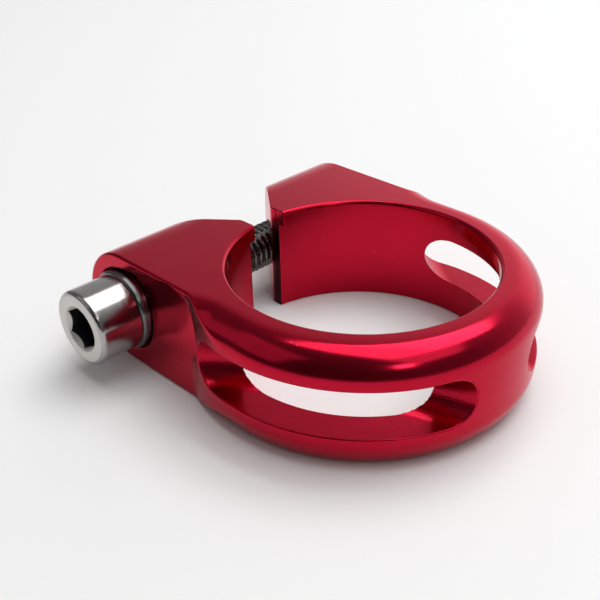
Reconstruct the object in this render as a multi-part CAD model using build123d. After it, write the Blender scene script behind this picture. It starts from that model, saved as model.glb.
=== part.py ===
from build123d import *
from math import cos, radians, sin, sqrt
import os

# Bicycle seatpost clamp: a split collar with two ears, closed by one socket screw on a washer.
# Frame: origin on the bore's axis at the bottom face, +Z up to the lip, the screw lies along X with its
# head towards -X, and the ears stand towards +Y. All sizes are in millimetres.

# Collar: the bore fits the seat tube, and a lip at the top stops the collar on the tube's end
BORE_D = 34.9
WALL = 4.3
HEIGHT = 14.8
LIP_WIDTH = 0.95
LIP_HEIGHT = 2.2
LIP_CHAMFER = 0.3
BORE_CHAMFER = 0.15

# Crowned edges of the collar: how far in, how far down, and the radius of the arc between
TOP_CROWN_WIDTH = 3.3
TOP_CROWN_DROP = 3.7
TOP_CROWN_R = 4.05
BOTTOM_CROWN_WIDTH = 1.85
BOTTOM_CROWN_DROP = 3.7
BOTTOM_CROWN_R = 5.3
TOP_RUNOUT = 4.0
BOTTOM_RUNOUT = 9.0
RUNOUT_R = 10.0
RUNOUT_TURN = 60.0

# Ears: how far their ends lie inside the collar's width, the screw's distance from the bore, and the split
EAR_INSET = 1.9
BOLT_Y = 22.25
EAR_BLEND_R = 4.0
EDGE_ROUND = 0.35
GAP = 5.2
SPLIT_WALL = 1.65
BEVEL_ANGLE = 39.5

# Lightening slots, each left by a round-edged disc cutter that passes the collar's flank
SLOT_HEIGHT = 6.2
SLOT_LIFT = 0.15
SLOT_ANGLE = 61.5
SLOT_REACH = 5.0
DISC_R = 71.6
DISC_TURN = 20.0

# Screw, its washer, and their seat in the ear on the head's side
THREAD_D = 6.0
THREAD_CLEARANCE = 0.05
PASS_CLEARANCE = 0.3
SCREW_LENGTH = 35.0
HEAD_D = 9.8
HEAD_LENGTH = 5.9
HEAD_ROUND = 0.6
TIP_CHAMFER = 0.8
SOCKET_AF = 5.0
SOCKET_DEPTH = 3.2
SOCKET_MOUTH_D = 6.5
WASHER_D = 10.5
WASHER_T = 1.6
WASHER_CHAMFER = 0.25
SEAT_DEPTH = 0.7
SEAT_CLEARANCE = 0.2

# Scooped relief that leads from the screw's seat towards the collar, deepest along its upper edge
RELIEF_RUN = 9.35
RELIEF_RISE = 1.65
RELIEF_TILT = 6.0
RELIEF_DEPTH = 0.9
RELIEF_R = 0.5

# Values that follow from the sizes above
BORE_R = BORE_D / 2
RING_R = BORE_R + WALL
EAR_X = RING_R - EAR_INSET
LIP_R = BORE_R - LIP_WIDTH
MID_Z = HEIGHT / 2
EAR_BACK_Y = BOLT_Y + MID_Z
SEAT_X = -EAR_X + SEAT_DEPTH
UNDER_HEAD_X = SEAT_X - WASHER_T
SEAT_R = WASHER_D / 2 + SEAT_CLEARANCE
MARGIN = 2.0
TOUCH = 0.01
LOW = (Align.CENTER, Align.CENTER, Align.MIN)
TOWARDS_MINUS_X = (Align.MAX, Align.CENTER, Align.CENTER)


def along_x(x, shape):
    """Stand a shape that was made up +Z along +X, with its base at x on the screw's axis."""
    return Location((x, BOLT_Y, MID_Z), (0, 90, 0)) * shape


def collar_and_ears():
    """The blank: a round collar blended into a two-eared block, with the ears' back fully rounded."""
    plan = Circle(RING_R) + Pos(0, EAR_BACK_Y / 2) * Rectangle(2 * EAR_X, EAR_BACK_Y)
    corner_y = sqrt(RING_R**2 - EAR_X**2)
    inner_corners = [v for v in plan.vertices() if abs(v.Y - corner_y) < TOUCH]
    plan = fillet(inner_corners, EAR_BLEND_R)
    reach = BOLT_Y + RING_R + MARGIN
    side = Pos(BOLT_Y - reach / 2, MID_Z) * Rectangle(reach, HEIGHT) + Pos(BOLT_Y, MID_Z) * Circle(MID_Z)
    blank = extrude(plan, HEIGHT) & extrude(Plane.YZ * side, RING_R + MARGIN, both=True)
    ear_ends = blank.faces().filter_by(Axis.X).sort_by(Axis.X)
    return fillet(ear_ends[0].edges() + ear_ends[-1].edges(), EDGE_ROUND)


def crown_waste(flat_x, face_z, up, width, drop, arc_r):
    """Face of the metal that rounding takes off, outward from a flat's edge at flat_x on a face."""
    start = (flat_x, face_z)
    end = (flat_x + width, face_z - up * drop)
    far_x = flat_x + width + MARGIN
    far_z = face_z + up * MARGIN
    arc = RadiusArc(start, end, up * arc_r)
    outside = Polyline(end, (far_x, end[1]), (far_x, far_z), (flat_x, far_z), start)
    return Plane.XZ * make_face(Curve() + [arc, outside])


def crown_cutter(face_z, up, width, drop, arc_r, run):
    """Rounding round the collar's front half that runs straight on and then leaves in an outward arc."""
    flat_x = RING_R - width
    profile = crown_waste(flat_x, face_z, up, width, drop, arc_r)
    front = revolve(profile, Axis.Z, -180)
    straight = extrude(profile, run, dir=(0, 1, 0))
    leaving = revolve(crown_waste(-RUNOUT_R, face_z, up, width, drop, arc_r), Axis.Z, -RUNOUT_TURN)
    leaving = Pos(flat_x + RUNOUT_R, run) * leaving
    side = straight + leaving
    return [front, side, mirror(side, Plane.YZ)]


def slot_cutter(angle):
    """Sector of the disc cutter: a flat plate with a fully rounded rim, on an axis beside the collar."""
    rim_r = SLOT_HEIGHT / 2
    rim_x = DISC_R - rim_r
    plate = 2 * (RING_R + SLOT_REACH)
    rim = Circle(rim_r) + Pos(-plate / 2, 0) * Rectangle(plate, SLOT_HEIGHT)
    profile = Plane.XZ * Pos(rim_x, MID_Z + SLOT_LIFT) * rim
    sector = revolve(profile, Axis.Z, 2 * DISC_TURN)
    axis_r = DISC_R + BORE_R - SLOT_REACH
    turned = Rot(0, 0, angle + 180 - DISC_TURN) * sector
    return Pos(axis_r * cos(radians(angle)), axis_r * sin(radians(angle))) * turned


def bore_cutter():
    """Seat tube's bore up to the lip, the smaller hole through the lip, and both mouths' chamfers."""
    bore = Cylinder(BORE_R, HEIGHT - LIP_HEIGHT, align=LOW)
    lip = Cylinder(LIP_R, HEIGHT, align=LOW)
    top = Pos(0, 0, HEIGHT - LIP_CHAMFER) * Cone(LIP_R, LIP_R + LIP_CHAMFER, LIP_CHAMFER, align=LOW)
    bottom = Cone(BORE_R + BORE_CHAMFER, BORE_R, BORE_CHAMFER, align=LOW)
    return bore + lip + top + bottom


def split_cutter():
    """The gap between the ears: parallel faces from the bore, then bevels out to the back."""
    half = GAP / 2
    bevel_y = sqrt(BORE_R**2 - half**2) + SPLIT_WALL
    back_y = EAR_BACK_Y + MARGIN
    flare = (back_y - bevel_y) * sin(radians(BEVEL_ANGLE)) / cos(radians(BEVEL_ANGLE))
    right = [(half, 0), (half, bevel_y), (half + flare, back_y)]
    left = [(-x, y) for x, y in reversed(right)]
    return extrude(make_face(Polyline(*right, *left, close=True)), HEIGHT)


def relief_cutter():
    """A round-ended pocket from the screw's seat up towards the collar, with its floor tilted inwards."""
    run_end = Pos(BOLT_Y - RELIEF_RUN, MID_Z + RELIEF_RISE) * Circle(SEAT_R)
    outline = make_hull((Pos(BOLT_Y, MID_Z) * Circle(SEAT_R) + run_end).edges())
    pocket = Pos(-EAR_X, 0, 0) * extrude(Plane.YZ * outline, WALL, both=True)
    floor_z = MID_Z + RELIEF_RISE + SEAT_R
    outer = Box(2 * WALL, 2 * EAR_BACK_Y + 2 * RING_R, 4 * HEIGHT, align=TOWARDS_MINUS_X)
    scoop = pocket & (Location((RELIEF_DEPTH - EAR_X, BOLT_Y, floor_z), (0, RELIEF_TILT, 0)) * outer)
    return fillet(scoop.faces().sort_by(Axis.X)[-1].edges(), RELIEF_R)


def screw_holes():
    """Washer's seat and clearance hole in one ear, and the threaded hole through the other."""
    seat = along_x(-EAR_X - WASHER_T, Cylinder(SEAT_R, SEAT_DEPTH + WASHER_T, align=LOW))
    passage = along_x(-EAR_X, Cylinder(THREAD_D / 2 + PASS_CLEARANCE, EAR_X, align=LOW))
    threaded = along_x(0, Cylinder(THREAD_D / 2, EAR_X + MARGIN, align=LOW))
    return [seat, passage, threaded]


def clamp_ring():
    """The one-piece collar, cut from its blank in the order that it would be machined."""
    ring = collar_and_ears()
    ring -= crown_cutter(HEIGHT, 1, TOP_CROWN_WIDTH, TOP_CROWN_DROP, TOP_CROWN_R, TOP_RUNOUT)
    ring -= crown_cutter(0, -1, BOTTOM_CROWN_WIDTH, BOTTOM_CROWN_DROP, BOTTOM_CROWN_R, BOTTOM_RUNOUT)
    ring -= [slot_cutter(-90 - SLOT_ANGLE), slot_cutter(-90 + SLOT_ANGLE)]
    ring -= [bore_cutter(), split_cutter(), relief_cutter()]
    ring -= screw_holes()
    return ring


def clamp_bolt():
    """Socket cap screw: rounded head with a countersunk hexagon, and a shank of the thread's outer size."""
    head = fillet(Cylinder(HEAD_D / 2, HEAD_LENGTH, align=LOW).edges().sort_by(Axis.Z)[0], HEAD_ROUND)
    hexagon = RegularPolygon(SOCKET_AF / 2, 6, major_radius=False)
    socket = extrude(hexagon, SOCKET_DEPTH)
    mouth = Cone(SOCKET_MOUTH_D / 2, 0, SOCKET_MOUTH_D / 2, align=LOW)
    shank_r = THREAD_D / 2 - THREAD_CLEARANCE
    shank = Pos(0, 0, HEAD_LENGTH) * Cylinder(shank_r, SCREW_LENGTH, align=LOW)
    shank = chamfer(shank.edges().sort_by(Axis.Z)[-1], TIP_CHAMFER)
    return along_x(UNDER_HEAD_X - HEAD_LENGTH, head - socket - mouth + shank)


def washer():
    """Flat washer under the head, chamfered on its outer edge towards the head."""
    disc = chamfer(Cylinder(WASHER_D / 2, WASHER_T, align=LOW).edges().sort_by(Axis.Z)[0], WASHER_CHAMFER)
    hole = Cylinder(THREAD_D / 2 + PASS_CLEARANCE / 2, WASHER_T, align=LOW)
    return along_x(UNDER_HEAD_X, disc - hole)


os.makedirs("parts", exist_ok=True)
for name, solid in (("clamp_ring", clamp_ring()), ("clamp_bolt", clamp_bolt()), ("washer", washer())):
    export_step(solid, f"parts/{name}.step")
    print(name, len(solid.solids()), "solid", round(solid.volume, 1), "mm3", solid.bounding_box().size)
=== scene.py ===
# %% [markdown]
# # A seatpost clamp in red anodised aluminium
# The clamp is a split collar with two ears. A socket screw pulls the ears together, the collar closes on
# the top of a bicycle's seat tube, and the seatpost is held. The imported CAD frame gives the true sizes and
# the moving bodies. This lesson gives each of its pieces a finer surface and a real finish.

# %% Load the frame
from math import cos, pi, radians, sin, sqrt, tan

import bpy
import numpy as np
from mathutils import Matrix, Vector


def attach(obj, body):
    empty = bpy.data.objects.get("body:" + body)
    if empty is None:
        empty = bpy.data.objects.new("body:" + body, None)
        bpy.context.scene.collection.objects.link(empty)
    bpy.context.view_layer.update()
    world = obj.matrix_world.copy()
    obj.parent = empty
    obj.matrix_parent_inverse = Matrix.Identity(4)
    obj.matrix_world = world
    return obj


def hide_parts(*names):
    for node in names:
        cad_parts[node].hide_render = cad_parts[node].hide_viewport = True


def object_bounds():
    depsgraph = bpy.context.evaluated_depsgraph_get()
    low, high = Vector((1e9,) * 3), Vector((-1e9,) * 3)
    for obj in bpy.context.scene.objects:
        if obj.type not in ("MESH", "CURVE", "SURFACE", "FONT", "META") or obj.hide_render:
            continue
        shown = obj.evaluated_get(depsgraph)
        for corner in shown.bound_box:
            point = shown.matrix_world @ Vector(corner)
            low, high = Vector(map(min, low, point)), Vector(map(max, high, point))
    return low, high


MM = 0.001
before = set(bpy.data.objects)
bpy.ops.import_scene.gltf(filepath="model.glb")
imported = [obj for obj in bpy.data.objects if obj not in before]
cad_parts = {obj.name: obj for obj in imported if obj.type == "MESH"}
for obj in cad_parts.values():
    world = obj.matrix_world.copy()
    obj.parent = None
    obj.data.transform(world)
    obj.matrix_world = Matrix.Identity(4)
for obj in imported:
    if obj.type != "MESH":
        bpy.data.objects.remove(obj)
cad_box = [list(corner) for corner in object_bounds()]
low, high = (np.array(cad_box) / MM).round(2)
print("nodes", sorted(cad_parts), "from", low, "to", high, "in millimetres")

# %% [markdown]
# ## How a machined surface is described here
# A machinist starts from a blank and takes cuts away. The same can be written with distances: a field is
# below zero in metal and above zero in air, an intersection is the larger of two fields, and a cut is the
# intersection with a cutter turned inside out. Booleans on meshes could do this too, but they leave razor
# edges. Rounding the corner where two fields meet gives the small broken edge that every real machined part
# has, and that catches the light.

# %% Fields that meet in a rounded edge
def overlap(a, b, edge):
    """Larger of two fields, with a quarter circle of radius edge where both come near zero."""
    round_part = np.hypot(np.maximum(a + edge, 0), np.maximum(b + edge, 0))
    return np.minimum(-edge, np.maximum(a, b)) + round_part


def join(a, b, edge):
    """Smaller of two fields, with a hollow quarter circle in the corner between them."""
    return -overlap(-a, -b, edge)


def cut(metal, cutter, edge):
    """Metal with a cutter's field taken out of it, and the cut's edge rounded."""
    return overlap(metal, -cutter, edge)


print("a sharp corner stands outside an edge of 0.4 mm by", round(float(overlap(0, 0, 0.4)), 3))

# %% [markdown]
# ## The collar's blank
# From above, the blank is a circle joined to a block for the ears, with a small fillet in the corners
# between them. From the side, the ears' back is a full half round about the screw. The overall sizes come
# from the frame's box, in millimetres from the bore's axis and the bottom face, so the two stay together.

# %% The blank's outline and side
RING_R, BACK_Y, HEIGHT = high
FACE_X = low[0]
SCREW_Z = HEIGHT / 2
SCREW_Y = BACK_Y - SCREW_Z
EAR_X, CORNER_FILLET, EAR_EDGE = 19.85, 4.0, 0.4


def plan_field(w, y):
    """Smallest of circle, block and fillet wedge; w is the distance from the plane between the ears.

    The wedge lies outside a circle that touches both the collar and the ear's end."""
    centre_x = EAR_X + CORNER_FILLET
    centre_y = sqrt((RING_R + CORNER_FILLET) ** 2 - centre_x**2)
    collar = np.hypot(w, y) - RING_R
    block = np.maximum(w - EAR_X, -y)
    beside_line = (w * centre_y - y * centre_x) / (RING_R + CORNER_FILLET)
    outside_fillet = CORNER_FILLET - np.hypot(w - centre_x, y - centre_y)
    wedge = np.maximum(outside_fillet, np.maximum(y - centre_y, beside_line))
    return np.minimum(np.minimum(collar, block), wedge)


def side_field(y, z):
    """Distance from the mid plane, or behind the screw from its axis, less half the height."""
    return np.hypot(np.maximum(y - SCREW_Y, 0), z - SCREW_Z) - HEIGHT / 2


print("screw's axis at y", SCREW_Y, "z", SCREW_Z)
print("outline's miss at the ear's end", plan_field(EAR_X, SCREW_Y))

# %% [markdown]
# ## Crowned edges
# The collar's top and bottom edges are turned to large arcs, so the clamp looks slim and has no corner to
# catch on clothing. The rounding goes round the front, runs straight on beside the bore, and then swings
# outward and leaves the ear. One number per point says how far it lies outside the edge of the flat.

# %% Crowns
TOP_CROWN = dict(width=3.3, drop=3.7, arc_r=4.05)
BOTTOM_CROWN = dict(width=1.85, drop=3.7, arc_r=5.3)
TOP_RUN, BOTTOM_RUN, LEAVE_R = 4.0, 9.0, 10.0


def outside_flat(w, y, flat, run):
    """Radius less the flat's in front, then sideways distance, then the depth inside the leaving circle."""
    leaving = LEAVE_R - np.hypot(w - flat - LEAVE_R, y - run)
    beside = np.where(y < run, w - flat, leaving)
    return np.where(y < 0, np.hypot(w, y) - flat, beside)


def crown_field(out, depth, width, drop, arc_r):
    """Distance from the arc through (0, 0) and (width, drop), as out from the flat and depth below it."""
    chord = sqrt(width**2 + drop**2)
    rise = sqrt(arc_r**2 - chord**2 / 4)
    centre_out = width / 2 - rise * drop / chord
    centre_depth = drop / 2 + rise * width / chord
    return np.hypot(np.maximum(out - centre_out, 0), np.maximum(centre_depth - depth, 0)) - arc_r


arc_end = crown_field(TOP_CROWN["width"], TOP_CROWN["drop"], **TOP_CROWN)
print("top crown's miss where it meets the side", arc_end.round(6))

# %% [markdown]
# ## Bore, slots and split
# The bore fits the tube and ends in a lip that stops on the tube's end. Each lightening slot is left by a
# disc cutter with a fully round rim, and breaks through into the bore. The split has short parallel walls
# and opens to the back in bevels. Each of these is one short field.

# %% Cuts in the collar
BORE_R, LIP_R, LIP_Z = 17.45, 16.5, 12.6
LIP_MOUTH, BORE_MOUTH = 0.3, 0.15
LIP_EDGE, LIP_CORNER, LIP_MOUTH_EDGE, BORE_MOUTH_EDGE = 0.08, 0.12, 0.1, 0.06
SLOT_R, SLOT_Z, SLOT_TURN = 3.1, 7.55, radians(-28.5)
DISC_R, DISC_REACH = 71.6, 5.0
HALF_GAP, SPLIT_WALL, BEVEL, BEVEL_EDGE = 2.6, 1.65, radians(39.5), 0.25
BEVEL_Y = sqrt(BORE_R**2 - HALF_GAP**2) + SPLIT_WALL


def bore_field(r, z):
    """Metal outside the bore's radius, joined to the lip above it, with a chamfer at each mouth."""
    lip = overlap(LIP_R - r, LIP_Z - z, LIP_EDGE)
    wall = join(BORE_R - r, lip, LIP_CORNER)
    top_mouth = (z - HEIGHT - r + LIP_R + LIP_MOUTH) / sqrt(2)
    bottom_mouth = (BORE_R + BORE_MOUTH - z - r) / sqrt(2)
    return overlap(overlap(wall, top_mouth, LIP_MOUTH_EDGE), bottom_mouth, BORE_MOUTH_EDGE)


def slot_field(w, y, z):
    """Inside a disc of radius DISC_R whose rim is a half round of the slot's height; both sides alike."""
    axis_r = DISC_R + BORE_R - DISC_REACH
    from_axis = np.hypot(w - axis_r * cos(SLOT_TURN), y - axis_r * sin(SLOT_TURN))
    return np.hypot(np.maximum(from_axis - DISC_R + SLOT_R, 0), z - SLOT_Z) - SLOT_R


def split_field(w, y):
    """Metal outside the parallel walls and the bevels, in the half behind the bore's axis."""
    bevel = (y - BEVEL_Y) * sin(BEVEL) - (w - HALF_GAP) * cos(BEVEL)
    return np.where(y > 0, overlap(HALF_GAP - w, bevel, BEVEL_EDGE), -BORE_R)


widest_gap = 2 * (HALF_GAP + (BACK_Y - BEVEL_Y) * tan(BEVEL))
print("split opens from", 2 * HALF_GAP, "to", round(widest_gap, 2), "mm")

# %% [markdown]
# ## The screw's seat and the scooped relief
# The washer sits in a shallow round seat in the near ear. From it a scooped relief leads towards the collar:
# a round-ended pocket whose floor tilts, so it is deepest along its upper edge and fades out below. The far
# ear is tapped, and the near one has a clearance hole.

# %% Seat, relief and screw holes
SEAT_X, SEAT_R, PASS_R, TAP_R = -19.15, 5.45, 3.3, 3.0
RELIEF_RUN, RELIEF_RISE, RELIEF_DEPTH, RELIEF_TILT = 9.35, 1.65, 0.9, radians(6)
RELIEF_CORNER = 0.5


def relief_field(x, y, z):
    """Within SEAT_R of the line from the screw to the run's end, and outside the tilted floor."""
    run_squared = RELIEF_RUN**2 + RELIEF_RISE**2
    share = ((SCREW_Y - y) * RELIEF_RUN + (z - SCREW_Z) * RELIEF_RISE) / run_squared
    share = np.clip(share, 0, 1)
    beside = np.hypot(y - SCREW_Y + share * RELIEF_RUN, z - SCREW_Z - share * RELIEF_RISE) - SEAT_R
    top_z = SCREW_Z + RELIEF_RISE + SEAT_R
    floor = (x + EAR_X - RELIEF_DEPTH) * cos(RELIEF_TILT) - (z - top_z) * sin(RELIEF_TILT)
    return overlap(beside, floor, RELIEF_CORNER)


def screw_hole_field(x, y, z):
    """The washer's seat, the clearance hole in the near ear and the tapped hole in the far one."""
    r = np.hypot(y - SCREW_Y, z - SCREW_Z)
    seat = np.maximum(r - SEAT_R, x - SEAT_X)
    hole = r - np.where(x < 0, PASS_R, TAP_R)
    return np.minimum(seat, hole)


print("seat sunk by", round(EAR_X + SEAT_X, 2), "relief's end at y", SCREW_Y - RELIEF_RUN)

# %% [markdown]
# ## All the cuts in order
# The whole collar is now one function of a point. Its slope gives the exact direction that the surface
# faces, so reflections run smoothly over arcs, flats and rounded edges alike.

# %% The collar as one field
CROWN_EDGE, SLOT_EDGE, BORE_EDGE = 0.12, 0.16, 0.06
SPLIT_EDGE, RELIEF_EDGE, HOLE_EDGE = 0.14, 0.18, 0.15


def collar_field(points):
    """Blank, then crowns, slots, bore, split, relief and screw holes, for points in millimetres."""
    x, y, z = points[..., 0], points[..., 1], points[..., 2]
    w, r = np.abs(x), np.hypot(x, y)
    metal = overlap(plan_field(w, y), side_field(y, z), EAR_EDGE)
    top = outside_flat(w, y, RING_R - TOP_CROWN["width"], TOP_RUN)
    metal = overlap(metal, crown_field(top, HEIGHT - z, **TOP_CROWN), CROWN_EDGE)
    bottom = outside_flat(w, y, RING_R - BOTTOM_CROWN["width"], BOTTOM_RUN)
    metal = overlap(metal, crown_field(bottom, z, **BOTTOM_CROWN), CROWN_EDGE)
    metal = cut(metal, slot_field(w, y, z), SLOT_EDGE)
    metal = overlap(metal, bore_field(r, z), BORE_EDGE)
    metal = overlap(metal, split_field(w, y), SPLIT_EDGE)
    metal = cut(metal, relief_field(x, y, z), RELIEF_EDGE)
    return cut(metal, screw_hole_field(x, y, z), HOLE_EDGE)


def slope(field, points, step=0.002):
    """Central differences of a field along the three axes."""
    shifts = np.eye(3) * step
    return np.stack([field(points + s) - field(points - s) for s in shifts], -1) / (2 * step)


front_top = np.array([[0.0, -LIP_R - 1.0, HEIGHT]])
print("field on the front's flat", collar_field(front_top), "facing", slope(collar_field, front_top).round(3))

# %% [markdown]
# ## From a field to a mesh
# A grid that follows the collar is laid through the metal: one parameter goes round the bore, one outward
# from the bore to the outline, and one up. In each cell that the surface crosses, one vertex sits at the
# mean of the crossings on the cell's edges, and each crossed edge makes a face between its four cells.
# Then each vertex slides along the slope onto the exact surface. Grid lines are closer where edges are.

# %% A grid that follows the collar
SHELL_R, RIM, MIDDLE_LINES = 18.1, 1.4, 10
LEAST_REACH, TINY = 19.0, 1e-6


def graded(*stops):
    """Lines from the first stop to the last; each stop gives its place and the spacing that starts there."""
    spans = zip(stops, stops[1:])
    runs = [np.linspace(a, b, round((b - a) / step), endpoint=False) for (a, step), (b, _) in spans]
    return np.concatenate([*runs, [stops[-1][0]]])


def outline_radius(turn):
    """Where a ray from the bore's axis leaves the outline: the collar, the ear's end, back or bevel."""
    side, ahead = np.abs(np.sin(turn)), np.cos(turn)
    ear = np.minimum(EAR_X / np.maximum(side, TINY), BACK_Y / np.maximum(ahead, TINY))
    reach = np.where(ahead > 0, np.maximum(ear, RING_R), RING_R)
    closing = side - ahead * tan(BEVEL)
    bevel = (HALF_GAP - BEVEL_Y * tan(BEVEL)) / np.minimum(closing, -TINY)
    return np.maximum(np.where(closing < 0, np.minimum(reach, bevel), reach), LEAST_REACH)


window_side = (74, 0.3), (82, 0.8), (92, 1.4), (145, 0.8), (155, 0.3), (162, 0.8), (168, 1.3), (180, 1)
tapped_half = graded((7.4, 0.3), (10.4, 0.9), (31, 0.8), (37, 0.4), (47.4, 1.0), (58, 0.6), *window_side)
seat_half = graded((7.4, 0.3), (10.4, 0.9), (31, 0.42), *window_side)
turns = np.radians(np.concatenate([tapped_half, 360 - seat_half[-2::-1]]))
ups = graded((-0.12, 0.12), (0.48, 0.4), (4.1, 0.2), (5.1, 0.42), (10.1, 0.2), (11.1, 0.4), (12.3, 0.15),
             (12.75, 0.3), (14.1, 0.12), (14.92, 1))
inner = graded((16.25, 0.15), (16.85, 0.2), (17.25, 0.08), (17.73, 0.18), (SHELL_R, 1))[:-1]
middle = np.linspace(0, 1, MIDDLE_LINES, endpoint=False)
outer = graded((-RIM, 0.18), (0.22, 1))
fixed = np.concatenate([inner, SHELL_R - RIM * middle, SHELL_R + outer])
follow = np.concatenate([inner * 0, middle, outer * 0 + 1])
radii = fixed + follow * (outline_radius(turns)[:, None] - SHELL_R)
grid = np.empty((len(turns), len(fixed), len(ups), 3))
grid[..., 0] = (radii * np.sin(turns)[:, None])[..., None]
grid[..., 1] = (radii * np.cos(turns)[:, None])[..., None]
grid[..., 2] = ups
print("grid lines round, out and up", grid.shape[:3])


# %% Vertices and faces where the field changes sign
def along(array, axis, start, stop):
    """Part of an array between two places on one axis."""
    return array[tuple(slice(start, stop) if i == axis else slice(None) for i in range(array.ndim))]


def surface_net(field, grid):
    """Mean of the crossings in each cell as vertices, and a quad of four cells round each crossed edge."""
    values = field(grid)
    cells = np.array(values.shape) - 1
    total, count = np.zeros((*cells, 3)), np.zeros(cells)
    crossed = {}
    for axis in range(3):
        before, after = along(values, axis, 0, -1), along(values, axis, 1, None)
        share = np.where(before == after, 0, before / np.where(before == after, 1, before - after))
        hit = (before < 0) != (after < 0)
        start, end = along(grid, axis, 0, -1), along(grid, axis, 1, None)
        place = np.where(hit[..., None], start + share[..., None] * (end - start), 0)
        crossed[axis] = hit, before < 0
        first, second = (axis + 1) % 3, (axis + 2) % 3
        for i in (0, 1):
            for j in (0, 1):
                span = [slice(None)] * 3
                span[first], span[second] = slice(i, cells[first] + i), slice(j, cells[second] + j)
                total += place[tuple(span)]
                count += hit[tuple(span)]
    used = count > 0
    number = np.cumsum(used).reshape(used.shape) - 1
    quads = []
    for axis, (hit, metal_first) in crossed.items():
        first, second = (axis + 1) % 3, (axis + 2) % 3
        place = np.argwhere(hit)
        inside = (place[:, first] > 0) & (place[:, first] < cells[first])
        place = place[inside & (place[:, second] > 0) & (place[:, second] < cells[second])]
        corners = []
        for i, j in ((1, 1), (0, 1), (0, 0), (1, 0)):
            cell = place.copy()
            cell[:, first] -= i
            cell[:, second] -= j
            corners.append(number[tuple(cell.T)])
        quad = np.stack(corners, -1)
        outward = metal_first[tuple(place.T)]
        quads.append(np.where(outward[:, None], quad, quad[:, ::-1]))
    return total[used] / count[used][:, None], np.concatenate(quads)


collar_points, collar_quads = surface_net(collar_field, grid)
print("collar", len(collar_points), "vertices", 2 * len(collar_quads), "triangles")


# %% Slide the vertices onto the surface
LONGEST_MOVE = 0.15


def settle(field, points, rounds=6):
    """Newton's step along the slope, with each move held to LONGEST_MOVE in mm."""
    for _ in range(rounds):
        steep = slope(field, points)
        move = field(points)[:, None] * steep / np.maximum((steep**2).sum(-1, keepdims=True), TINY)
        length = np.linalg.norm(move, axis=1, keepdims=True)
        points = points - move * np.minimum(1, LONGEST_MOVE / np.maximum(length, TINY))
    return points


collar_points = settle(collar_field, collar_points)
facing = slope(collar_field, collar_points)
facing /= np.linalg.norm(facing, axis=1, keepdims=True)
print("largest miss of the surface in mm", abs(collar_field(collar_points)).max())


# %% [markdown]
# ## Making pieces
# A piece is a mesh in metres whose object stays at the origin. It rides a CAD body and stands for its CAD
# node. The collar's faces could be shaded from their own corners, but the field's slope at each vertex is
# exact, so it is kept as the normal there.

# %% Put a surface into the scene
def new_piece(name, points, faces, body, node, slot):
    """Mesh from points in millimetres and lists of corners, riding a body in place of a CAD node."""
    mesh = bpy.data.meshes.new(name)
    mesh.from_pydata((points * MM).tolist(), [], faces)
    mesh.polygons.foreach_set("use_smooth", np.ones(len(mesh.polygons), bool))
    mesh.update()
    piece = bpy.data.objects.new(name, mesh)
    bpy.context.scene.collection.objects.link(piece)
    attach(piece, body)
    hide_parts(node)
    return piece


collar = new_piece("collar", collar_points, collar_quads.tolist(), "ring", "clamp_ring", "red_anodised")
collar.data.normals_split_custom_set_from_vertices(facing)
print("collar rides the ring with", len(collar.data.polygons), "faces")

# %% [markdown]
# ## Where the collar's skin differs
# A disc cutter leaves streaks along the slots' walls and fainter ones in the bore, the split's walls are dull
# and darkened with painted shade, and the washer's seat is darkened with painted shade too. These places
# could be painted by hand or get materials of their own. Here a number is kept at each vertex, worked out
# from the same fields as the shape, so the marks end exactly where the cuts do.

# %% Marks for the collar's skins
NEAR, BORE_STREAKS, BEYOND = 0.03, 0.3, 0.1
FADE_TOP_Z, FADE_HEIGHT = LIP_Z + 0.4, 1.2

x, y, z = collar_points.T
on_slot = np.abs(slot_field(np.abs(x), y, z)) < NEAR
on_bore = np.abs(np.hypot(x, y) - BORE_R) < NEAR
on_split = (np.abs(np.abs(x) - HALF_GAP) < NEAR) & (y > BORE_R - 1) & (y < BEVEL_Y + BEYOND)
below_lip = np.clip((FADE_TOP_Z - z) / FADE_HEIGHT, 0, 1)
in_seat = (x < SEAT_X + BEYOND) & (np.hypot(y - SCREW_Y, z - SCREW_Z) < SEAT_R + NEAR)
# The second and third marks say where painted shade darkens the split's walls and the washer's seat.
collar_marks = {"streaked": np.maximum(1.0 * on_slot, BORE_STREAKS * on_bore),
                "dull_split_shade": on_split * below_lip, "seat_shade": in_seat}
for name, value in collar_marks.items():
    collar.data.attributes.new(name, "FLOAT", "POINT").data.foreach_set("value", value.astype(np.float32))
print("marked vertices", {name: int((value > 0).sum()) for name, value in collar_marks.items()})

# %% [markdown]
# ## The socket screw
# A cap screw is turned, its hexagon is pressed in, and its thread is rolled. So it is one profile turned
# about the axis: it starts at the bottom of the hexagon, goes over the head and along the shank, and ends
# at the tip. A lathe tool in Blender would give plain rings only. On a grid of rows and angles the radius
# may also depend on the angle, which makes the hexagon, and on both, which makes the thread's helix.

# %% Turned surfaces
COLUMNS = 96
angles = np.arange(COLUMNS) * 2 * pi / COLUMNS
all_round = np.ones((1, COLUMNS))


def column(*values):
    """Numbers as a column, to be spread over the angles."""
    return np.array(values, float)[:, None]


def turned(x, r, looped=False):
    """Rings of radius r at x about the screw's axis, joined in order.

    A looped profile joins its last ring to its first; any other has a fan to a centre at each end."""
    x, r = x * all_round, r * all_round
    rings = np.stack([x, SCREW_Y + r * np.cos(angles), SCREW_Z + r * np.sin(angles)], -1)
    index = np.arange(x.size).reshape(x.shape)
    if looped:
        index = np.concatenate([index, index[:1]])
    beside = np.roll(index, -1, axis=1)
    faces = np.stack([index[:-1], beside[:-1], beside[1:], index[1:]], -1).reshape(-1, 4).tolist()
    points = rings.reshape(-1, 3)
    if not looped:
        first = np.full(COLUMNS, len(points))
        points = np.concatenate([points, rings[[0, -1]].mean(axis=1)])
        faces += np.stack([first, beside[0], index[0]], -1).tolist()
        faces += np.stack([first + 1, index[-1], beside[-1]], -1).tolist()
    return points, faces


print("columns round the screw", COLUMNS)

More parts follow.
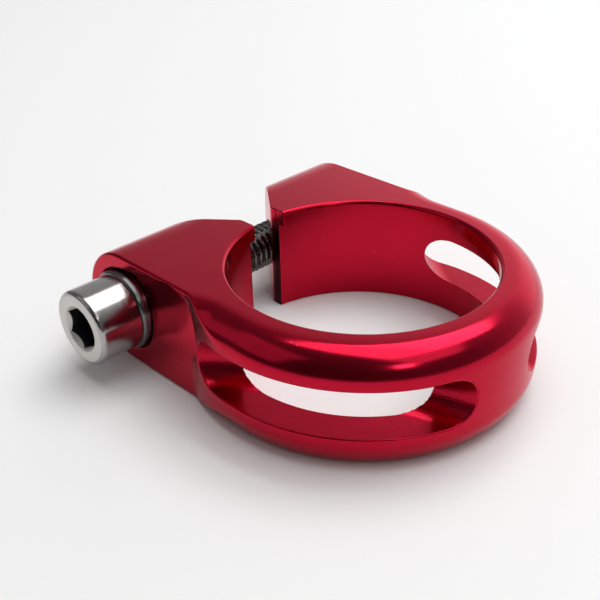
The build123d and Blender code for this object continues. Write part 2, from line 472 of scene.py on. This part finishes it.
# %% [markdown]
# ## Head and hexagon
# The pressed hexagon ends in a shallow cone that the punch leaves, and a wider cone at its mouth guides the
# key in. Where that cone meets the flat sides of the hexagon, each flat gets its scalloped upper edge.

# %% The screw's head and hexagon
WASHER_T = 1.6
UNDER_HEAD_X = SEAT_X - WASHER_T
HEAD_R, HEAD_ROUND, HEAD_ROWS = 4.9, 0.6, 8
HEX_FLAT, HEX_DEPTH, MOUTH_R = 2.5, 3.2, 3.05
SHANK_R, SCREW_LENGTH = 2.95, 35.0
PUNCH_CONE, PUNCH_TIP_R = 0.4, 0.3
BREAK, LAND, MOUTH_STEP = 0.12, 0.1, 0.03
FACE_DIP, FACE_START = 0.04, 0.02
SIDE_START, SIDE_END = 0.9, 0.2
NECK, NECK_FOOT = 0.3, 0.08

hexagon = HEX_FLAT / np.cos((angles + pi / 6) % (pi / 3) - pi / 6)
mouth_end = FACE_X + MOUTH_R - hexagon
hex_floor = (FACE_X + HEX_DEPTH) * all_round
socket_x = np.concatenate([hex_floor + PUNCH_CONE, hex_floor, hex_floor - BREAK,
                           [mouth_end + LAND, mouth_end]])
socket_r = np.stack([PUNCH_TIP_R + 0 * angles, hexagon - BREAK, hexagon, hexagon, hexagon + MOUTH_STEP])
bend = np.linspace(0, pi / 2, 10)[:, None]
side_x = np.linspace(FACE_X + SIDE_START, UNDER_HEAD_X - SIDE_END, HEAD_ROWS)[:, None]
head_x = np.concatenate([column(FACE_X + FACE_DIP, FACE_X), FACE_X + HEAD_ROUND * (1 - np.cos(bend)),
                         side_x, UNDER_HEAD_X + column(-BREAK, 0, 0, NECK_FOOT, NECK)])
neck_r = column(HEAD_R, HEAD_R - BREAK, SHANK_R + NECK, SHANK_R + NECK_FOOT, SHANK_R)
head_r = np.concatenate([column(MOUTH_R - FACE_START, MOUTH_R + FACE_DIP),
                         HEAD_R - HEAD_ROUND * (1 - np.sin(bend)), np.full((HEAD_ROWS, 1), HEAD_R), neck_r])
head_rows = len(socket_x) + len(head_x)
print("head from x", FACE_X, "to", UNDER_HEAD_X, "in", head_rows, "rows")

# %% [markdown]
# ## The rolled thread
# A rolled metric thread has flanks at 60 degrees to each other, a narrow flat crest and a wider rounded
# root, and it fades out towards the head. It could be a texture, but it shows in the split between the
# ears, so it is real geometry: the radius follows the distance along the axis less the angle's share of a
# pitch. Its edges are shaded smoothly, because rolling leaves no sharp ones.

# %% The screw's thread
PITCH, THREAD_DEPTH, THREAD_LENGTH, TIP_CHAMFER = 1.0, 0.6134, 24.0, 0.8
ROWS_PER_PITCH, FADE_PITCHES = 18, 1.5
CREST, ROOT = 1 / 16, 1 / 8
SHARP = radians(40)
tip_x = UNDER_HEAD_X + SCREW_LENGTH
thread_rows = round(THREAD_LENGTH / PITCH * ROWS_PER_PITCH)
thread_x = np.linspace(tip_x - THREAD_LENGTH, tip_x, thread_rows)[:, None]
phase = (thread_x / PITCH - angles / (2 * pi)) % 1
flank = np.clip((np.abs(phase - 0.5) - CREST) / (0.5 - CREST - ROOT), 0, 1)
fade = np.clip((thread_x - thread_x[0]) / (FADE_PITCHES * PITCH), 0, 1)
tip_r = SHANK_R - np.maximum(thread_x - tip_x + TIP_CHAMFER, 0)
thread_r = np.minimum(SHANK_R - THREAD_DEPTH * flank * fade, tip_r)
screw_x = np.concatenate([socket_x, head_x * all_round, thread_x * all_round])
screw_r = np.concatenate([socket_r, head_r * all_round, thread_r])
screw = new_piece("screw", *turned(screw_x, screw_r), "bolt", "clamp_bolt", "screw_steel")
screw.data.set_sharp_from_angle(angle=SHARP)
print("screw", len(screw.data.vertices), "vertices, tip at x", tip_x)

# %% [markdown]
# ## Soft edges on the thread
# The head's edges are crisp and were found by their angle. The thread's are as steep, but rolling leaves
# them rounded, so their sharp flags are taken off again. More rows would also round them, at the cost of
# many more faces.

# %% Smooth edges on the thread
edge_ends = np.empty(2 * len(screw.data.edges), np.int32)
screw.data.edges.foreach_get("vertices", edge_ends)
past_head = (edge_ends.reshape(-1, 2) >= head_rows * COLUMNS).all(axis=1)
sharp_flags = screw.data.attributes["sharp_edge"].data
sharp = np.empty(len(past_head), bool)
sharp_flags.foreach_get("value", sharp)
sharp_flags.foreach_set("value", sharp & ~past_head)
print("sharp edges", int(sharp.sum()), "of which kept", int((sharp & ~past_head).sum()))

# %% [markdown]
# ## Telling the screw's skins apart
# One screw shows three skins beside its turned side: the hexagon, the pressed end face and the thread. They
# could be three materials, but then the finish would end in a hard line of faces. A number at each vertex
# keeps one material.

# %% Marks for the screw's skins
row_of = np.append(np.repeat(np.arange(len(screw_x)), COLUMNS), (0, len(screw_x) - 1))


def mark(name, first, last):
    """A float attribute that is 1 on the screw's rows from first to last and 0 elsewhere."""
    value = ((row_of >= first) & (row_of <= last)).astype(np.float32)
    screw.data.attributes.new(name, "FLOAT", "POINT").data.foreach_set("value", value)
    return name, int(value.sum())


mouth_row = len(socket_x) - 1
print("marked", mark("hexagon", 0, mouth_row - 1), mark("pressed", mouth_row, mouth_row + 3),
      mark("thread", head_rows, len(screw_x)))

# %% [markdown]
# ## The washer
# A washer is stamped or turned from bar. It keeps the screw's head from scoring the soft ear, and its outer
# edge towards the head has a small chamfer. It is a closed profile carried once round the axis.

# %% A flat washer
WASHER_R, WASHER_HOLE, BACK_BREAK = 5.25, 3.15, 0.1
CHAMFER_DEPTH, CHAMFER_INSET = (0, 0.08, 0.25), (0.3, 0.12, 0)
washer_x = UNDER_HEAD_X + column(0, *CHAMFER_DEPTH, WASHER_T - BACK_BREAK, WASHER_T, WASHER_T)
chamfer_r = [WASHER_R - inset for inset in CHAMFER_INSET]
washer_r = column(WASHER_HOLE, *chamfer_r, WASHER_R, WASHER_R - BACK_BREAK, WASHER_HOLE)
washer_points, washer_faces = turned(washer_x, washer_r, looped=True)
washer = new_piece("washer_ring", washer_points, washer_faces, "washer", "washer", "washer_steel")
washer.data.set_sharp_from_angle(angle=SHARP)
print("washer", len(washer.data.vertices), "vertices, up to radius", WASHER_R)


# %% [markdown]
# ## Writing shaders as sums
# A finish is worked out from where a point lies on the piece. To write that as plain maths, one small class
# wraps a node's output: adding, multiplying or comparing adds a Math node, and one method makes any other
# node from its type, its settings and what goes into it. Linking nodes by hand would hide the sums.

# %% A wire between shader nodes
class Wire:
    """An output of a shader node. Sums, products and comparisons become Math nodes."""

    def __init__(self, socket):
        self.socket = socket

    def node(self, kind, inputs=None, output=0, **settings):
        """A new node in the same tree: settings first, then each input's value or wire."""
        tree = self.socket.id_data
        made = tree.nodes.new(kind)
        stops = settings.pop("stops", ())
        for name, value in settings.items():
            setattr(made, name, value)
        for i, (place, grey) in enumerate(stops):
            ramp = made.color_ramp.elements
            stop = ramp[i] if i < 2 else ramp.new(place)
            stop.position, stop.color = place, (grey, grey, grey, 1)
        for key, value in (inputs or {}).items():
            if isinstance(value, Wire):
                tree.links.new(value.socket, made.inputs[key])
            else:
                made.inputs[key].default_value = value
        return Wire(made.outputs[output])

    def maths(self, operation, a, b):
        """A Math node on two values or wires."""
        return self.node("ShaderNodeMath", {0: a, 1: b}, operation=operation)

    def __add__(self, other):
        return self.maths("ADD", self, other)

    def __mul__(self, other):
        return self.maths("MULTIPLY", self, other)

    def __gt__(self, other):
        return self.maths("GREATER_THAN", self, other)

    def __lt__(self, other):
        return self.maths("LESS_THAN", self, other)

    __radd__, __rmul__ = __add__, __mul__


def new_finish(name, **constants):
    """A material, its Principled shader with constants set, and a wire of Object coordinates in mm."""
    material = bpy.data.materials.new(name)
    material.use_nodes = True
    shader = material.node_tree.nodes["Principled BSDF"]
    for socket, value in constants.items():
        shader.inputs[socket.replace("_", " ")].default_value = value
    place = Wire(material.node_tree.nodes.new("ShaderNodeTexCoord").outputs["Object"])
    place = place.node("ShaderNodeVectorMath", {0: place, 3: 1 / MM}, operation="SCALE")
    return material, shader, place


def feed(shader, **wires):
    """Link wires to a shader's sockets."""
    for socket, wire in wires.items():
        shader.id_data.links.new(wire.socket, shader.inputs[socket.replace("_", " ")])


def noise(place, scale, detail=2.0, stretch=(1, 1, 1)):
    """Noise between 0 and 1; scale is features per millimetre, and stretch squeezes it along the axes."""
    squeezed = place.node("ShaderNodeVectorMath", {0: place, 1: stretch}, operation="MULTIPLY")
    return place.node("ShaderNodeTexNoise", {"Vector": squeezed, "Scale": scale, "Detail": detail})


def mark_of(place, name):
    """The piece's float attribute of that name."""
    return place.node("ShaderNodeAttribute", output="Fac", attribute_name=name)


def blend(share, a, b):
    """Colour a where share is 0 and b where it is 1."""
    return share.node("ShaderNodeMix", {"Factor": share, 6: a, 7: b}, output=2, data_type="RGBA")


print("shader helpers", [helper.__name__ for helper in (new_finish, feed, noise, mark_of, blend)])

# %% [markdown]
# ## Red anodising
# Anodising grows a thin clear oxide on the aluminium and a dye soaks into it, so the metal shines through
# deep red and the oxide adds a faint clear gloss of its own. It could be a painted red under a varnish, but
# then the metal's mirror would be lost, so it is a coloured metal under a thin clear coat. At a grazing
# angle its reflection is nearly white, with a little of the dye left in the edge tint. The marks give the
# cut walls their streaks, darken the split's dull walls and the washer's seat with painted shade, and a few
# grains of dust lie on the part.

# %% The collar's finish
DYE_DEEP, DYE_PALE, DUST = (0.46, 0.002, 0.022, 1), (0.52, 0.003, 0.029, 1), (0.6, 0.13, 0.15, 1)
# Painted shade: near-black colours for the split's walls and the washer's seat.
SPLIT_SHADE, SEAT_SHADE = (0.05, 0.003, 0.005, 1), (0.02, 0.004, 0.004, 1)
DUST_LEVEL, EDGE_TINT = 0.80, (1.0, 0.76, 0.8, 1)
red, red_shader, place = new_finish("red_anodised_aluminium", Metallic=1.0, Coat_Weight=0.16,
                                    Coat_Roughness=0.14, Coat_IOR=1.5, Specular_Tint=EDGE_TINT)
grain = noise(place, 9.0, 3.0)
cloud = noise(place, 0.35)
streaks = noise(place, 1.0, 3.0, stretch=(0.25, 0.25, 9.0))
dust = noise(place, 2.6, 1.0) > DUST_LEVEL
streaked, dull_split_shade, seat_shade = (mark_of(place, name) for name in collar_marks)
# Painted shade darkens the split's walls here, and the same mark makes them duller below.
dye_and_shade = blend(dull_split_shade, blend(cloud, DYE_DEEP, DYE_PALE), SPLIT_SHADE)
rough = 0.12 + 0.06 * grain + 0.05 * cloud + streaked * (0.02 + 0.12 * streaks) + 0.25 * dull_split_shade
height = 0.12 * grain + 2.5 * streaked * streaks
bump = place.node("ShaderNodeBump", {"Height": height, "Strength": 0.2, "Distance": 0.00005})
# Painted shade darkens the washer's seat.
feed(red_shader, Base_Color=blend(seat_shade, blend(dust, dye_and_shade, DUST), SEAT_SHADE), Roughness=rough, Normal=bump)
collar.data.materials.append(red)
print("finish", red.name, "with", len(red.node_tree.nodes), "nodes")

# %% [markdown]
# ## Bright steel
# The screw and washer are stainless steel. Turning leaves fine rings round the axis and a dark mirror on
# the head's side, while the pressed end face is a lighter, duller grey. The hexagon gets painted shade that
# makes it almost black, the rolled thread gets painted shade that makes it dark, and the washer is darker
# than the head. Scratches could come from a picture, but noise squeezed along the axis gives rings that fit
# any size.

# %% The screw's and washer's finish
SCREW_TONE, WASHER_TONE, DARKER = (0.45, 0.43, 0.42), (0.17, 0.16, 0.16), 0.86
# The thread's and the hexagon's near-black colours are painted shade.
PRESSED_TONE, THREAD_SHADE = (0.66, 0.64, 0.61, 1), (0.09, 0.085, 0.08, 1)
HEXAGON_SHADE = (0.045, 0.045, 0.047, 1)


def steel(name, bright, shine):
    """Metal with rings round the screw's axis and fine grain; gives its parts too, to be worked on."""
    material, shader, place = new_finish(name, Metallic=1.0)
    rings = noise(place, 1.0, 3.0, stretch=(14.0, 0.4, 0.4))
    grain = noise(place, 12.0, 3.0)
    tone = blend(grain, (*(DARKER * c for c in bright), 1), (*bright, 1))
    rough = shine + 0.1 * rings + 0.06 * grain
    height = rings + 0.4 * grain
    bump = place.node("ShaderNodeBump", {"Height": height, "Strength": 0.3, "Distance": 0.00003})
    feed(shader, Base_Color=tone, Roughness=rough, Normal=bump)
    return material, shader, place, tone, rough


def screw_steel():
    """Turned side, dull pressed end, and painted shade in the hexagon and on the thread, told apart by the
    marks.
    """
    material, shader, place, tone, rough = steel("bright_screw_steel", SCREW_TONE, 0.06)
    hexagon, pressed, thread = (mark_of(place, name) for name in ("hexagon", "pressed", "thread"))
    shade_noise = noise(place, 3.0, 3.0)
    tone = blend(pressed, tone, PRESSED_TONE)
    # Painted shade: the thread darkened by an amount that noise varies, and the hexagon made almost black.
    tone = blend(thread * (0.55 + 0.3 * shade_noise), tone, THREAD_SHADE)
    tone = blend(hexagon, tone, HEXAGON_SHADE)
    feed(shader, Base_Color=tone, Roughness=rough + 0.36 * pressed + 0.3 * hexagon)
    return material


screw.data.materials.append(screw_steel())
washer.data.materials.append(steel("washer_steel", WASHER_TONE, 0.12)[0])
print("finishes", screw.data.materials[0].name, washer.data.materials[0].name)

# %% [markdown]
# ## Camera
# The camera stands where the photograph was taken from: low, in front of the near ear's corner, and close,
# so the collar's front looks clearly larger than the far ear. It could be placed by eye, but its place was
# fitted to the collar's circles and the screw's head, so that every edge falls where it should.

# %% Camera at the photograph's place
CAMERA_AT = Vector((-75.56, -66.05, 68.56)) * MM
AIM = Vector((5.44, 16.43, 0.0)) * MM
ROLL = radians(-1.25)
FOCAL_PX, FRAME_PX, SENSOR_MM = 940, 600, 36
NEAREST = 0.005
ahead = (AIM - CAMERA_AT).normalized()
across = ahead.cross(Vector((0, 0, 1))).normalized()
above = across.cross(ahead)
right = across * cos(ROLL) + above * sin(ROLL)
up = above * cos(ROLL) - across * sin(ROLL)
camera = bpy.data.objects.new("camera", bpy.data.cameras.new("camera"))
camera.data.lens = FOCAL_PX / FRAME_PX * SENSOR_MM
camera.data.clip_start = NEAREST
camera.matrix_world = Matrix.Translation(CAMERA_AT) @ Matrix((right, up, -ahead)).transposed().to_4x4()
bpy.context.scene.collection.objects.link(camera)
bpy.context.scene.camera = camera
print("camera looks along", tuple(round(v, 3) for v in ahead))

# %% [markdown]
# ## Floor
# The clamp lies on a plain white table that fills the picture. A curved backdrop could stand behind it, but
# one large square is enough here. Metal shows it in every surface that faces down or out, so its brightness
# matters as much as the lamps'.

# %% Floor
FLOOR_HALF = 1.5
floor_mesh = bpy.data.meshes.new("floor")
corner_signs = np.array([(-1, -1), (1, -1), (1, 1), (-1, 1)])
floor_mesh.from_pydata([(FLOOR_HALF * a, FLOOR_HALF * b, 0) for a, b in corner_signs], [], [(0, 1, 2, 3)])
floor = bpy.data.objects.new("floor", floor_mesh)
bpy.context.scene.collection.objects.link(floor)
TABLE_WHITE = (0.94, 0.94, 0.94, 1)
floor_mesh.materials.append(new_finish("white_table", Roughness=0.6, Base_Color=TABLE_WHITE)[0])
print("floor", 2 * FLOOR_HALF, "m wide")

# %% [markdown]
# ## Light
# Polished metal shows its surroundings. Two soft boxes hang overhead and make the bright band on the crown,
# the right one stronger, so that the band runs on round the collar. A weaker one in front and a small one
# beside it light what faces the camera, and a weak panel fills the left. One large lamp would be simpler,
# but the band would lose its ends. The room is pale to the right, where a window would be, and dark to the
# left, so the crown's front falls off to deep red.

# %% Soft light
def soft_box(name, at, towards, size, watts):
    """A rectangular lamp of that size and power, turned to face a point."""
    lamp = bpy.data.lights.new(name, "AREA")
    lamp.shape, lamp.energy = "RECTANGLE", watts
    lamp.size, lamp.size_y = size
    holder = bpy.data.objects.new(name, lamp)
    holder.location = at
    holder.rotation_euler = (Vector(towards) - Vector(at)).to_track_quat("-Z", "Y").to_euler()
    bpy.context.scene.collection.objects.link(holder)


soft_box("overhead_right", (0.6, -0.05, 1.0), (0.6, -0.05, 0), (0.7, 0.9), 7.2)
soft_box("overhead_left", (0.025, -0.05, 1.0), (0.025, -0.05, 0), (0.45, 0.9), 3.0)
soft_box("front", (0.125, -0.85, 1.0), (0.125, -0.85, 0), (0.75, 0.7), 1.6)
soft_box("small", (-0.42, -1.15, 1.0), (0, 0, 0), (0.26, 0.26), 1.1)
soft_box("left_fill", (-0.9, 0.5, 0.7), (0, 0, 0), (0.9, 0.9), 0.85)

# %% The room around the table
WINDOW = (0.964, 0.267, 0.0)
ROOM_STRENGTH = 1.5
ROOM = ((0.0, 0.035), (1.0, 0.87), (0.30, 0.09), (0.575, 0.13), (0.715, 0.22), (0.84, 0.33), (0.877, 0.37),
        (0.908, 0.5), (0.95, 0.8))
world = bpy.data.worlds.new("studio")
world.use_nodes = True
bpy.context.scene.world = world
backdrop = world.node_tree.nodes["Background"]
backdrop.inputs["Strength"].default_value = ROOM_STRENGTH
toward = Wire(world.node_tree.nodes.new("ShaderNodeTexCoord").outputs["Generated"])
to_window = toward.node("ShaderNodeVectorMath", {0: toward, 1: WINDOW}, output="Value",
                        operation="DOT_PRODUCT")
feed(backdrop, Color=toward.node("ShaderNodeValToRGB", {0: 0.5 + 0.5 * to_window}, stops=ROOM))
bpy.context.scene.view_settings.view_transform = "Standard"
print("room's brightness from", ROOM_STRENGTH * ROOM[0][1], "to", ROOM_STRENGTH * ROOM[1][1])
